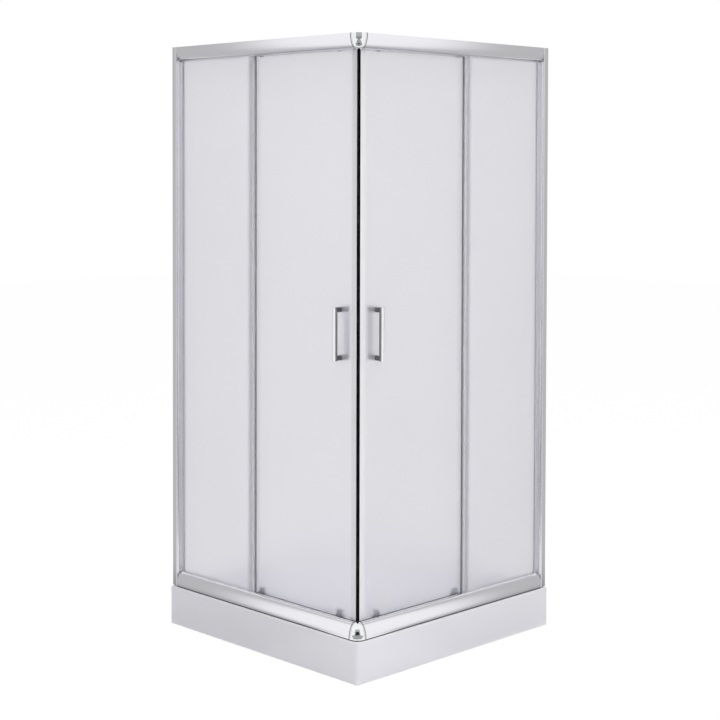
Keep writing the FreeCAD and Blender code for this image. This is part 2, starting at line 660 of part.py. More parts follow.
# ---------------------------------------------------------------- glass
def fixed_glass():
    edge = POCKET_FLOOR + GLASS_FIT
    return side_block(SLOT_FLOOR_X + ALLOY_WALL, FIXED_EDGE_X,
                      FIXED_GLASS_W, FIXED_GLASS_W + GLASS_THICKNESS,
                      rail_z(edge, False), rail_z(edge, True))


def roller_places():
    return [LEAD_ROLLER_X, TRAIL_ROLLER_X]


def handle_heights():
    return [HANDLE_Z - HANDLE_SPACING / 2, HANDLE_Z + HANDLE_SPACING / 2]


def door_glass():
    """The sliding pane, drilled for its four rollers and for its handles."""
    sheet = side_block(DOOR_TRAIL_X, DOOR_LEAD_X, DOOR_GLASS_W, DOOR_INNER_W,
                       rail_z(DOOR_EDGE_H, False), rail_z(DOOR_EDGE_H, True))
    holes = [(x, rail_z(h, top), BOLT_RADIUS) for x in roller_places()
             for h, top in ((TOP_BOLT_H, True), (BOTTOM_BOLT_H, False))]
    holes += [(HANDLE_X, z, HANDLE_STUD_RADIUS) for z in handle_heights()]
    for x, z, radius in holes:
        hole = rod(radius + GLASS_FIT, at(x, DOOR_GLASS_W - 1, z), at(x, DOOR_INNER_W + 1, z))
        sheet = sheet.cut(hole)
    return sheet


def fixed_edge_seal():
    """The strip on the fixed pane's free edge, with a fin that reaches towards the door."""
    near = FIXED_GLASS_W - EDGE_SEAL_WALL
    far = FIXED_GLASS_W + GLASS_THICKNESS + EDGE_SEAL_WALL
    nose = FIXED_EDGE_X + EDGE_SEAL_NOSE
    leg = FIXED_EDGE_X - EDGE_SEAL_LEG + EDGE_SEAL_NOSE
    slit = GLASS_FIT / 2
    z0 = FRAME_BASE + RAIL_HEIGHT + GLASS_FIT
    z1 = FRAME_TOP - RAIL_HEIGHT - GLASS_FIT
    outline = [(leg, near), (nose, near), (nose, far + EDGE_SEAL_FIN),
               (nose - EDGE_SEAL_WALL, far + EDGE_SEAL_FIN), (nose - 2 * EDGE_SEAL_WALL, far), (leg, far),
               (leg, far - EDGE_SEAL_WALL + slit), (FIXED_EDGE_X + slit, far - EDGE_SEAL_WALL + slit),
               (FIXED_EDGE_X + slit, near + EDGE_SEAL_WALL - slit), (leg, near + EDGE_SEAL_WALL - slit)]
    return plan_prism(outline, z0, z1)


def door_seal_span():
    gap = RAIL_HEIGHT + SEAL_TO_RAIL
    return rail_z(gap, False), rail_z(gap, True)


def trailing_seal():
    """The strip on the door's trailing edge, with a fin that closes on the fixed pane."""
    near = DOOR_GLASS_W - TRAILING_WALL
    far = DOOR_INNER_W + TRAILING_WALL
    nose = DOOR_TRAIL_X - TRAILING_NOSE
    leg = DOOR_TRAIL_X + TRAILING_LEG
    slit = GLASS_FIT / 2
    tip = FIXED_GLASS_W + GLASS_THICKNESS + TRAILING_FIN_GAP
    outline = [(nose, tip), (nose + TRAILING_FIN / 2, tip), (nose + TRAILING_FIN, near), (leg, near),
               (leg, near + TRAILING_WALL - slit), (DOOR_TRAIL_X - slit, near + TRAILING_WALL - slit),
               (DOOR_TRAIL_X - slit, far - TRAILING_WALL + slit), (leg, far - TRAILING_WALL + slit),
               (leg, far), (nose, far)]
    return plan_prism(outline, *door_seal_span())


def meeting_point(back, outward):
    """An (x, w) pair near the doors' meeting line: back from the mirror plane, and outward along it."""
    centre = -FACE_Y - DOOR_GLASS_W - GLASS_THICKNESS / 2
    x = centre + (outward - back) / math.sqrt(2)
    y = -centre - (outward + back) / math.sqrt(2)
    return x, y - FACE_Y


def magnet_span():
    into = RAIL_HEIGHT - MAGNET_INTO_RAIL
    return rail_z(into, False), rail_z(into, True)


def magnet_strip():
    near = MAGNET_GAP
    far = MAGNET_GAP + MAGNET_THICKNESS
    outline = [meeting_point(near, -MAGNET_INWARD), meeting_point(far, -MAGNET_INWARD),
               meeting_point(far, MAGNET_OUTWARD), meeting_point(near, MAGNET_OUTWARD)]
    return plan_prism(outline, *magnet_span())


def magnet_clip():
    """The clear profile that grips the door's leading edge and carries the magnet strip."""
    near = DOOR_GLASS_W - CLIP_WALL
    far = DOOR_INNER_W + CLIP_WALL
    leg = DOOR_LEAD_X - CLIP_LEG
    nose = DOOR_LEAD_X + CLIP_NOSE
    slit = GLASS_FIT / 2
    back = MAGNET_GAP + MAGNET_THICKNESS
    outline = [(leg, near), (nose, near), meeting_point(back, MAGNET_OUTWARD - CLIP_WALL),
               meeting_point(back, -MAGNET_INWARD + CLIP_WALL), (nose, far), (leg, far),
               (leg, far - CLIP_WALL + slit), (DOOR_LEAD_X + slit, far - CLIP_WALL + slit),
               (DOOR_LEAD_X + slit, near + CLIP_WALL - slit), (leg, near + CLIP_WALL - slit)]
    return plan_prism(outline, *magnet_span())


def build_glass():
    save_pair("fixed_glass", fixed_glass())
    save("fixed_edge_seals", *with_mirror(fixed_edge_seal()))
    save_pair("door_glass", door_glass())
    save_pair("door_trailing_seal", trailing_seal())
    save_pair("door_magnet_strip", magnet_strip())
    save_pair("door_magnet_clip", magnet_clip())


# ---------------------------------------------------------------- rollers
def wheel(x, z):
    """A flat wheel that runs on the shelf between its lip and the rail's skirt, bored for its axle."""
    near = at(x, TRACK_W - WHEEL_WIDTH / 2, z)
    far = at(x, TRACK_W + WHEEL_WIDTH / 2, z)
    return rod(WHEEL_RADIUS, near, far).cut(rod(AXLE_RADIUS + AXLE_FIT, near, far))


def axle(x, plate_w, z):
    """The pin that a wheel turns on, with a shoulder on its plate and a head outside the wheel."""
    half = WHEEL_WIDTH / 2 + END_PLAY
    shoulder = rod(AXLE_SHOULDER_RADIUS, at(x, plate_w, z), at(x, TRACK_W - half, z))
    pin = rod(AXLE_RADIUS, at(x, TRACK_W - half, z), at(x, TRACK_W + half, z))
    head = rod(AXLE_HEAD_RADIUS, at(x, TRACK_W + half, z), at(x, TRACK_W + half + AXLE_HEAD_HEIGHT, z))
    return shoulder.fuse(pin).fuse(head)


def clipped_plate(x, width, w0, w1, z0, z1):
    """An upright plate with its four corners clipped."""
    clip = min(width, z1 - z0) * PLATE_CLIP
    half = width / 2
    outline = [(half - clip, z0), (half, z0 + clip), (half, z1 - clip), (half - clip, z1)]
    outline += [(-dx, z) for dx, z in reversed(outline)]
    face = polygon_face([at(x + dx, w0, z) for dx, z in outline])
    return face.extrude(at(x, w1, z0) - at(x, w0, z0))


def top_bracket(x):
    """A plate on the door that reaches up inside the rail and carries an axle there."""
    far = DOOR_INNER_W + PLATE_THICKNESS
    plate = clipped_plate(x, PLATE_WIDTH, DOOR_INNER_W, far,
                          rail_z(PLATE_FOOT, True), rail_z(PLATE_TIP, True))
    return plate.fuse(axle(x, far, rail_z(WHEEL_H, True)))


def holder(x):
    """The fixed half of a bottom roller: a channel on the door that guides the sprung carrier."""
    z0 = rail_z(HOLDER_START, False)
    z1 = rail_z(HOLDER_END, False)
    body = clipped_plate(x, HOLDER_WIDTH, DOOR_INNER_W, DOOR_INNER_W + HOLDER_DEPTH, z0, z1)
    half = CARRIER_WIDTH / 2 + CARRIER_FIT
    return body.cut(side_block(x - half, x + half, DOOR_INNER_W - 1, HOLDER_BACK_W, z0 - 1, z1 + 1))


def carrier(x):
    """The sprung half of a bottom roller: a slotted plate with the wheel's axle and a thumb button."""
    near = DOOR_INNER_W + CARRIER_FIT
    far = near + CARRIER_THICKNESS
    half = CARRIER_WIDTH / 2
    tall = rail_z(BUTTON_START + BUTTON_HEIGHT, False)
    plate = side_block(x - half, x + half, near, far, rail_z(PLATE_TIP, False), tall)
    button = clipped_plate(x, CARRIER_WIDTH, near, near + BUTTON_REACH, rail_z(BUTTON_START, False), tall)
    slot_half = BOLT_RADIUS + CARRIER_FIT
    z = rail_z(BOTTOM_BOLT_H, False)
    ends = [z, z + CARRIER_TRAVEL]
    slot = side_block(x - slot_half, x + slot_half, near - 1, far + 1, *ends)
    for end in ends:
        slot = slot.fuse(rod(slot_half, at(x, near - 1, end), at(x, far + 1, end)))
    return joined(plate, button).cut(slot).fuse(axle(x, far, rail_z(WHEEL_H, False)))


def glass_bolt(x, z, end_w):
    """A flat-headed bolt through the door, from its outer face to the piece that it holds."""
    disc = rod(BOLT_DISC_RADIUS, at(x, DOOR_GLASS_W - BOLT_DISC_THICKNESS, z), at(x, DOOR_GLASS_W, z))
    return disc.fuse(rod(BOLT_RADIUS, at(x, DOOR_GLASS_W, z), at(x, end_w, z)))


def glass_bolts():
    top = rail_z(TOP_BOLT_H, True)
    bottom = rail_z(BOTTOM_BOLT_H, False)
    return [glass_bolt(x, z, end_w) for x in roller_places()
            for z, end_w in ((top, DOOR_INNER_W), (bottom, HOLDER_BACK_W))]


def track_stops():
    """Rubber blocks in the top track, just past each end of the door's travel."""
    open_end = TRAIL_ROLLER_X - DOOR_TRAVEL - WHEEL_RADIUS - STOP_GAP
    closed_end = LEAD_ROLLER_X + WHEEL_RADIUS + STOP_GAP
    near = TRACK_W - WHEEL_WIDTH / 2
    far = RAIL_DEPTH - ALLOY_WALL
    blocks = [rail_block(x0, x0 + STOP_LENGTH, near, far, ALLOY_WALL, STOP_HEIGHT, True)
              for x0 in (open_end - STOP_LENGTH, closed_end)]
    return with_mirror(*blocks)


def build_rollers():
    save_pair("door_top_brackets", *[top_bracket(x) for x in roller_places()])
    save_pair("door_bottom_holders", *[holder(x) for x in roller_places()])
    save_pair("door_glass_bolts", *glass_bolts())
    for place, x in zip(("lead", "trail"), roller_places()):
        save_pair("top_wheel_" + place, wheel(x, rail_z(WHEEL_H, True)))
        save_pair("bottom_wheel_" + place, wheel(x, rail_z(WHEEL_H, False)))
        save_pair("release_carrier_" + place, carrier(x))
    save("track_stops", *track_stops())


# ---------------------------------------------------------------- handles
def handle_bar(face_w, outward):
    """The grip: flat at the back, gently convex in front, carried up between the two posts."""
    half = HANDLE_WIDTH / 2
    back = face_w + outward * HANDLE_STAND_OFF
    edge = back + outward * HANDLE_EDGE
    crown = back + outward * HANDLE_THICKNESS
    length = HANDLE_SPACING + HANDLE_POST + 2 * HANDLE_END
    z0 = HANDLE_Z - length / 2
    arc = Part.Arc(at(HANDLE_X - half, edge, z0), at(HANDLE_X, crown, z0),
                   at(HANDLE_X + half, edge, z0)).toShape()
    outline = [arc] + lines([at(HANDLE_X + half, edge, z0), at(HANDLE_X + half, back, z0),
                             at(HANDLE_X - half, back, z0), at(HANDLE_X - half, edge, z0)])
    return face_of(outline).extrude(UP * length)


def handle(face_w, outward):
    """A D-handle on one face of the door: the grip on two square posts."""
    half = HANDLE_POST / 2
    grip = handle_bar(face_w, outward)
    w0, w1 = sorted((face_w, face_w + outward * (HANDLE_STAND_OFF + HANDLE_EDGE / 2)))
    for z in handle_heights():
        grip = grip.fuse(side_block(HANDLE_X - half, HANDLE_X + half, w0, w1, z - half, z + half))
    return grip.removeSplitter()


def outer_handle():
    """The handle outside, with the two studs that pass through the glass."""
    grip = handle(DOOR_GLASS_W, -1)
    for z in handle_heights():
        end = at(HANDLE_X, DOOR_INNER_W + HANDLE_STUD_DEPTH, z)
        grip = grip.fuse(rod(HANDLE_STUD_RADIUS, at(HANDLE_X, DOOR_GLASS_W, z), end))
    return grip


def inner_handle():
    """The handle inside, with a bore in each post for the other handle's studs."""
    grip = handle(DOOR_INNER_W, 1)
    for z in handle_heights():
        end = at(HANDLE_X, DOOR_INNER_W + HANDLE_STUD_DEPTH + HANDLE_STUD_GAP, z)
        grip = grip.cut(rod(HANDLE_STUD_RADIUS, at(HANDLE_X, DOOR_INNER_W - 1, z), end))
    return grip


def build_handles():
    save_pair("door_outer_handle", outer_handle())
    save_pair("door_inner_handle", inner_handle())


def main():
    os.makedirs("parts", exist_ok=True)
    build_tray()
    build_waste()
    build_rails()
    build_uprights()
    build_glass()
    build_rollers()
    build_handles()


main()
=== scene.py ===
"""Dresses a corner shower enclosure: its finishes, small fittings, studio and camera."""

import math

import bpy
import numpy as np
from bpy.props import FloatProperty, FloatVectorProperty, IntProperty, PointerProperty
from mathutils import Matrix, Vector


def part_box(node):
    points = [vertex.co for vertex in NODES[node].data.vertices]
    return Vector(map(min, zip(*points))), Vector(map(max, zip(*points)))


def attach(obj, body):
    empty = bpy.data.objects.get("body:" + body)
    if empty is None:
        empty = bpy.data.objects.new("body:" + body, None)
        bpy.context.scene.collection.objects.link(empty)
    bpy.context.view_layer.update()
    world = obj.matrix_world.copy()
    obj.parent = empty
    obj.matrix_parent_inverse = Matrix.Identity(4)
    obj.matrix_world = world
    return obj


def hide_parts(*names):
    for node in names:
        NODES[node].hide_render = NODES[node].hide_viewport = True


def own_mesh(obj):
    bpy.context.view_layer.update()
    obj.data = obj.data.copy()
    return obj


bl_info = {
    "name": "Corner Shower Dressing",
    "version": (1, 0, 0),
    "blender": (4, 5, 0),
    "location": "3D View > Sidebar > Shower",
    "description": "Finishes, small fittings and studio for a corner shower enclosure",
    "category": "Object",
}

MM = 0.001
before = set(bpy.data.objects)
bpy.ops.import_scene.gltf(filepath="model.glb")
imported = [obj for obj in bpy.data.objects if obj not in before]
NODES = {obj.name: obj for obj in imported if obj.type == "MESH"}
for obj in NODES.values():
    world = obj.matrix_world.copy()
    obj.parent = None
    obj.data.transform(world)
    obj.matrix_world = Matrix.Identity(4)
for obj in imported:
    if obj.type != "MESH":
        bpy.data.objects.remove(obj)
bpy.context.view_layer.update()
SIDES = ("left", "right")


def node_box(name):
    """Lowest and highest corners of a CAD node as arrays, in metres."""
    low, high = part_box(name)
    return np.array(low), np.array(high)


# ------------------------------------------------------------------ shader web
MIX_SHARE, MIX_FIRST, MIX_SECOND, MIX_RESULT = 0, 6, 7, 2  # a Mix node's colour sockets
SURFACE_IOR = 1.5  # of glass, acrylic and most plastics


class Wire:
    """A shader value. Sums and products of wires add Math nodes to their web."""

    def __init__(self, web, socket):
        self.web = web
        self.socket = socket

    def maths(self, operation, first, second=0.0):
        return self.web.add("ShaderNodeMath", {"operation": operation}, {0: first, 1: second})

    def __add__(self, other):
        return self.maths("ADD", self, other)

    __radd__ = __add__

    def __sub__(self, other):
        return self.maths("SUBTRACT", self, other)

    def __rsub__(self, other):
        return self.maths("SUBTRACT", other, self)

    def __mul__(self, other):
        return self.maths("MULTIPLY", self, other)

    def __abs__(self):
        return self.maths("ABSOLUTE", self)

    def at_most(self, level):
        return self.maths("MINIMUM", self, level)

    def at_least(self, level):
        return self.maths("MAXIMUM", self, level)

    def step(self, low, high):
        """0 below low and 1 above high, smooth in between."""
        return self.web.add(
            "ShaderNodeMapRange",
            {"interpolation_type": "SMOOTHSTEP"},
            {"Value": self, "From Min": low, "From Max": high},
        )


class Web:
    """The node tree of one finish or of the world."""

    def __init__(self, tree):
        self.tree = tree
        tree.nodes.clear()

    def add(self, kind, settings=None, sockets=None, out=0):
        """Adds a node: its settings first, then the values or wires of its sockets."""
        node = self.tree.nodes.new(kind)
        for key, value in (settings or {}).items():
            setattr(node, key, value)
        for key, value in (sockets or {}).items():
            self.fill(node.inputs[key], value)
        return Wire(self, node.outputs[out])

    def fill(self, socket, value):
        """Links a wire to a socket, or sets the socket to a plain value."""
        if isinstance(value, Wire):
            self.tree.links.new(value.socket, socket)
        else:
            socket.default_value = value

    def place(self):
        """The point of the surface, in metres, in the object's own frame."""
        return self.add("ShaderNodeTexCoord", out="Object")

    def axes(self, vector=None):
        """The three numbers of a vector, by default the surface's place."""
        vector = vector or self.place()
        parts = self.add("ShaderNodeSeparateXYZ", None, {0: vector})
        return [Wire(self, socket) for socket in parts.socket.node.outputs]

    def facing(self, axis):
        """How far the surface faces along an axis of its object, from 0 to 1."""
        return abs(self.axes(self.add("ShaderNodeTexCoord", out="Normal"))[axis])

    def noise(self, scale, detail=3.0, stretch=(1, 1, 1)):
        """Cloudy noise from 0 to 1. A small stretch draws it out along that axis."""
        vector = self.add("ShaderNodeMapping", None, {"Vector": self.place(), "Scale": stretch})
        return self.add(
            "ShaderNodeTexNoise", None, {"Vector": vector, "Scale": scale, "Detail": detail}
        )

    def cells(self, scale, feature, out):
        """Random cells: their colours, or the distance to their edges."""
        return self.add(
            "ShaderNodeTexVoronoi",
            {"feature": feature},
            {"Vector": self.place(), "Scale": scale},
            out,
        )

    def blend(self, share, first, second):
        """A colour between two colours."""
        values = {MIX_SHARE: share, MIX_FIRST: opaque(first), MIX_SECOND: opaque(second)}
        return self.add("ShaderNodeMix", {"data_type": "RGBA"}, values, MIX_RESULT)

    def bump(self, height, depth, strength):
        """A normal tilted by a height from 0 to 1, which stands for the given depth."""
        return self.add(
            "ShaderNodeBump", None, {"Height": height, "Distance": depth, "Strength": strength}
        )

    def surface(self, colour, **sockets):
        """A Principled surface, linked to the output. Names use _ for a space."""
        values = {key.replace("_", " "): value for key, value in sockets.items()}
        values.update({"IOR": SURFACE_IOR, "Base Color": opaque(colour)})
        self.output(self.add("ShaderNodeBsdfPrincipled", None, values))

    def output(self, shader, kind="ShaderNodeOutputMaterial"):
        """Links a shader to the tree's output."""
        node = self.tree.nodes.new(kind)
        self.tree.links.new(shader.socket, node.inputs["Surface"])


def opaque(colour):
    """A colour for a socket: a wire as it is, or three channels with an alpha of 1."""
    return colour if isinstance(colour, Wire) else (*colour, 1)


def new_finish(name):
    material = bpy.data.materials.new(name)
    material.use_nodes = True
    return material, Web(material.node_tree)


def tone(colour, factor):
    return tuple(min(1.0, channel * factor) for channel in colour)


def varied(web, share, colour, low, high):
    """A colour that wavers between two strengths of itself."""
    return web.blend(share, tone(colour, low), tone(colour, high))


# ------------------------------------------------------------------ finishes
ALONG_Z = (1, 1, 0.004)  # noise stretched down a strip


def smears(web):
    """Patches that a cloth leaves on plating."""
    return web.noise(24.0, 4.0, (1, 1, 0.4)).step(0.45, 0.75)


def acrylic(look):
    """Gloss white sheet: a faint waviness from forming, and dull patches that dust leaves."""
    material, web = new_finish("gloss_white_acrylic")
    cloud = web.noise(5.0, 4.0)
    fine = web.noise(900.0, 2.0, (1, 1, 0.12))
    height = web.noise(38.0, 2.0) * 0.7 + fine * 0.3
    web.surface(
        varied(web, cloud * 0.6 + fine * 0.4, look.acrylic_colour, 0.955, 1.0),
        Roughness=0.3 + cloud * 0.08,
        Coat_Weight=0.25,
        Coat_Roughness=0.08,
        Normal=web.bump(height, 0.2 * MM, 0.35),
    )
    return material


def raw_board():
    """Pressed fibre: short straws of several browns, lying every way."""
    material, web = new_finish("raw_fibreboard")
    straw = web.noise(420.0, 5.0, (1, 0.2, 1))
    cross = web.noise(380.0, 5.0, (0.2, 1, 1))
    share = (straw * 0.5 + cross * 0.5).step(0.38, 0.62)
    colour = web.blend(share, (0.30, 0.20, 0.11), (0.58, 0.44, 0.28))
    web.surface(colour, Roughness=0.86 - share * 0.1, Normal=web.bump(share, 0.4 * MM, 0.5))
    return material


def galvanised():
    """Hot-dip zinc: flat crystals, each with its own grey and gloss."""
    material, web = new_finish("hot_dip_galvanised")
    per_metre = 85.0
    crystal = web.axes(web.cells(per_metre, "F1", "Color"))[0]
    edge = web.cells(per_metre, "DISTANCE_TO_EDGE", "Distance").step(0.0, 0.05)
    web.surface(
        web.blend(crystal, (0.46, 0.48, 0.5), (0.68, 0.7, 0.72)),
        Metallic=1.0,
        Roughness=0.34 + crystal * 0.22,
        Normal=web.bump(edge, 0.1 * MM, 0.4),
    )
    return material


def zinc():
    """Bright zinc plate with a blue cast and fine pressing scratches."""
    material, web = new_finish("zinc_plated_steel")
    cloud = web.noise(60.0, 3.0)
    scratch = web.noise(2200.0, 2.0, (1, 0.05, 1))
    web.surface(
        web.blend(cloud.step(0.3, 0.7), (0.6, 0.62, 0.66), (0.74, 0.74, 0.72)),
        Metallic=1.0,
        Roughness=0.3 + scratch * 0.12,
        Normal=web.bump(scratch, 0.03 * MM, 0.4),
    )
    return material


def moulded(name, colour, roughness, grain=0.5):
    """Moulded plastic: spark-eroded grain, slightly uneven gloss and colour."""
    material, web = new_finish(name)
    cloud = web.noise(30.0, 3.0)
    spark = web.noise(1900.0, 2.0)
    web.surface(
        varied(web, cloud, colour, 0.9, 1.08),
        Roughness=roughness + cloud * 0.08,
        Normal=web.bump(spark, 0.08 * MM, grain),
    )
    return material


def plated(name, colour, roughness, ripple):
    """Chrome plate: mirror-like, with faint smears and a ripple from the polishing wheel."""
    material, web = new_finish(name)
    smear = smears(web)
    web.surface(
        varied(web, smear, colour, 1.0, 0.94),
        Metallic=1.0,
        Roughness=roughness + smear * 0.06,
        Normal=web.bump(web.noise(70.0, 2.0), 0.2 * MM, ripple),
    )
    return material


def capped_chrome(look):
    """Chrome plate with a painted shade on a corner cap's collars: it darkens towards where the
    cap meets each rail.
    """
    material, web = new_finish("chrome_corner_cap")
    x, y, _ = web.axes()
    mitre = node_box("left_bottom_rail")[1][0]
    collar_end, collar_start = mitre - 6.2 * MM, mitre - 0.5 * MM
    # painted shade: each collar fades from the plate's colour to nearly black towards the rail
    # it meets
    joint_shade = 1 - x.at_most(y * -1.0).step(collar_end, collar_start)
    smear = smears(web)
    plate = varied(web, smear, look.chrome_colour, 1.0, 0.94)
    web.surface(
        web.blend(joint_shade, plate, (0.09, 0.09, 0.095)),
        Metallic=1.0,
        Roughness=0.1 + smear * 0.06 + joint_shade * 0.3,
        Normal=web.bump(web.noise(70.0, 2.0), 0.2 * MM, 0.1),
    )
    return material


def handle_chrome(look, face_axis):
    """Handle plating: polished on the grip's face; its sides and posts, picked out by the way
    the surface faces, get a painted shade of dark brushed grey.
    """
    material, web = new_finish("handle_plate_facing_" + "xy"[face_axis])
    # painted shade: surfaces that turn away from the grip's facing axis take a dark grey
    face = web.facing(face_axis).step(0.45, 0.75)
    brush = web.noise(1400.0, 3.0, (1, 1, 0.01))
    side = web.blend(brush, (0.18, 0.18, 0.185), (0.26, 0.26, 0.27))
    web.surface(
        web.blend(face, side, look.chrome_colour),
        Metallic=1.0,
        Roughness=0.3 + brush * 0.1 - face * 0.2,
        Normal=web.bump(brush, 0.03 * MM, 0.3),
    )
    return material


def drawn_alloy(look, axis):
    """Bright anodised extrusion: fine die lines along the bar, cloudy anodising over them."""
    material, web = new_finish("bright_alloy_along_" + "xyz"[axis])
    stretch = [1.0, 1.0, 1.0]
    stretch[axis] = 0.004
    line = web.noise(1500.0, 3.0, stretch)
    broad = web.noise(260.0, 2.0, stretch)
    cloud = web.noise(7.0, 3.0)
    web.surface(
        varied(web, line * 0.5 + broad * 0.5, look.alloy_colour, 0.93, 1.03),
        Metallic=1.0,
        Roughness=0.15 + line * 0.07 + cloud * 0.03,
        Normal=web.bump(line * 0.6 + broad * 0.4, 0.03 * MM, 0.3),
    )
    return material


def satin_glass(look, face_axis, level):
    """Etched glass: pale and milky on its faces, clearer and greener at its ground edges.
    The panes towards the key lamp take a lower level, so that both panels look alike."""
    material, web = new_finish("satin_glass_facing_" + "xy"[face_axis])
    edge = 1 - web.facing(face_axis).step(0.35, 0.8)
    cloud = web.noise(2.2, 3.0)
    speck = web.noise(2600.0, 2.0)
    face = varied(web, cloud, tone(look.glass_colour, level), 0.985, 1.015)
    web.surface(
        web.blend(edge, face, (0.36, 0.5, 0.46)),
        Roughness=look.glass_haze + speck * 0.06 - edge * 0.1,
        Transmission_Weight=look.glass_clearness,
        Specular_IOR_Level=0.4,
        Normal=web.bump(speck, 0.06 * MM, 0.25),
    )
    return material


def soft_clear(look, name, clearness, cover):
    """Translucent extruded strip: milky, with die lines down its length. cover is the share
    of it that hides what lies behind."""
    material, web = new_finish(name)
    line = web.noise(1300.0, 2.0, ALONG_Z)
    web.surface(
        varied(web, line, look.strip_colour, 0.97, 1.03),
        Roughness=0.3 + line * 0.12,
        Transmission_Weight=clearness,
        Alpha=cover,
        Normal=web.bump(line, 0.08 * MM, 0.4),
    )
    return material


def edge_strip(look):
    """Two materials drawn as one strip: a milky channel on the glass, a dark fin behind it."""
    material, web = new_finish("two_part_edge_strip")
    x, y, _ = web.axes()
    seam = 0.2 * MM
    behind = node_box("right_fixed_glass")[0][0] - seam
    channel = x.at_least(y * -1.0).step(behind - seam, behind)
    line = web.noise(1300.0, 2.0, ALONG_Z)
    milky = varied(web, line, look.strip_colour, 0.97, 1.03)
    dark = varied(web, line, look.edge_strip_colour, 0.8, 1.2)
    web.surface(
        web.blend(channel, dark, milky),
        Roughness=0.5 + line * 0.14 - channel * 0.16,
        Transmission_Weight=0.15,
        Alpha=1 - channel * 0.65,
        Normal=web.bump(line, 0.08 * MM, 0.4),
    )
    return material


def rubber(look):
    """Black extruded rubber: matt, with die lines and a trace of bloom."""
    material, web = new_finish("extruded_black_rubber")
    line = web.noise(1100.0, 2.0, (1, 1, 0.01))
    bloom = web.noise(16.0, 4.0).step(0.55, 0.85)
    web.surface(
        varied(web, bloom, look.rubber_colour, 1.0, 2.0),
        Roughness=0.62 + line * 0.2,
        Specular_IOR_Level=0.03,
        Normal=web.bump(line, 0.1 * MM, 0.5),
    )
    return material


def finishes(look):
    """The finish of each material slot, and of the nodes that have one of their own. The
    left panel runs along x and faces y, the right one the other way round."""
    by_slot = {
        "white_acrylic": acrylic(look),
        "fibreboard": raw_board(),
        "galvanised_steel": galvanised(),
        "zinc_steel": zinc(),
        "black_plastic": moulded("black_moulding", (0.02, 0.02, 0.022), roughness=0.42),
        "grey_plastic": moulded("grey_moulding", (0.44, 0.45, 0.47), roughness=0.34),
        "white_nylon": moulded("moulded_nylon", (0.82, 0.82, 0.79), roughness=0.4, grain=0.25),
        "chrome": plated("polished_chrome", look.chrome_colour, 0.06, ripple=0.08),
        "chrome_plastic": plated("plated_moulding", look.chrome_colour, 0.05, ripple=0.16),
        "black_rubber": rubber(look),
        "clear_pvc": soft_clear(look, "translucent_strip", clearness=0.15, cover=1.0),
    }
    by_node = {
        "fixed_edge_seals": edge_strip(look),
        "corner_caps": capped_chrome(look),
        "glass_gaskets": moulded("pale_gasket", (0.62, 0.62, 0.645), roughness=0.5),
    }
    clearer = soft_clear(look, "clear_strip", clearness=0.8, cover=0.3)
    alloys = [drawn_alloy(look, axis) for axis in range(3)]
    panes = [satin_glass(look, 0, level=0.93), satin_glass(look, 1, level=1.0)]
    grips = [handle_chrome(look, axis) for axis in range(2)]
    for side, along, across in zip(SIDES, (0, 1), (1, 0)):
        for rail in ("top", "bottom"):
            by_node[f"{side}_{rail}_rail"] = alloys[along]
        for upright in ("wall", "side"):
            by_node[f"{side}_{upright}_profile"] = alloys[2]
        for pane in ("door", "fixed"):
            by_node[f"{side}_{pane}_glass"] = panes[across]
        by_node[f"{side}_door_trailing_seal"] = clearer
        for face in ("outer", "inner"):
            by_node[f"{side}_door_{face}_handle"] = grips[across]
    return by_slot, by_node


# ------------------------------------------------------------------ forms
# The finish of an added piece by its slot.
PIECE_FINISH = {
    "chrome": "polished_chrome",
    "zinc_steel": "zinc_plated_steel",
    "grey_plastic": "grey_moulding",
    "black_rubber": "extruded_black_rubber",
}


def around(count):
    """Angles of a full turn in equal steps, without the last."""
    return np.linspace(0, 2 * math.pi, count, endpoint=False)


def sheet_form(points, wrap_rows=False, wrap_columns=False):
    """Triangles over a grid of points: every cell is cut in two, and a wrapped side joins
    its last line to its first. Faces look along column direction x row direction."""
    rows, columns = points.shape[:2]
    index = np.arange(rows * columns).reshape(rows, columns)
    if wrap_rows:
        index = np.vstack([index, index[:1]])
    if wrap_columns:
        index = np.hstack([index, index[:, :1]])
    a, b, c, d = index[:-1, :-1], index[:-1, 1:], index[1:, 1:], index[1:, :-1]
    halves = [np.stack(corners, -1).reshape(-1, 3) for corners in ((a, b, c), (a, c, d))]
    return points.reshape(-1, 3), np.concatenate(halves)


def swept_round(radius, height, angles):
    """Points at radius(u, v) from the z axis and at height(u, v): (r cos v, r sin v, h)."""
    radius, height, angles = np.broadcast_arrays(radius, height, angles)
    return np.stack([radius * np.cos(angles), radius * np.sin(angles), height], -1)


def turned_form(profile, count, shape=None):
    """A profile of (radius, height) turned about z. shape(angle, radius) may change each
    radius, as for a hexagon. The profile starts and ends on the axis, which closes it."""
    profile = np.asarray(profile, float)
    angles = around(count)[None, :]
    radius = np.repeat(profile[:, :1], count, axis=1)
    if shape is not None:
        radius = shape(angles, radius)
    return sheet_form(swept_round(radius, profile[:, 1:], angles), wrap_columns=True)


def put(form, origin, x_axis=(1, 0, 0), y_axis=(0, 1, 0)):
    """A form moved so that its own x and y run along the given axes from the origin."""
    points, cells = form
    x_axis, y_axis = np.array(x_axis, float), np.array(y_axis, float)
    turn = np.stack([x_axis, y_axis, np.cross(x_axis, y_axis)])
    return points @ turn + np.array(origin, float), cells


def other_side(form):
    """The form's mirror image on the right-hand panel: (x, y, z) becomes (-y, -x, z)."""
    points, cells = form
    return np.stack([-points[:, 1], -points[:, 0], points[:, 2]], -1), cells[:, ::-1]


def together(forms):
    """Several forms as one list of points and one of triangles."""
    starts = np.cumsum([0] + [len(points) for points, _ in forms[:-1]])
    cells = [cells + start for (_, cells), start in zip(forms, starts)]
    return np.concatenate([points for points, _ in forms]), np.concatenate(cells)


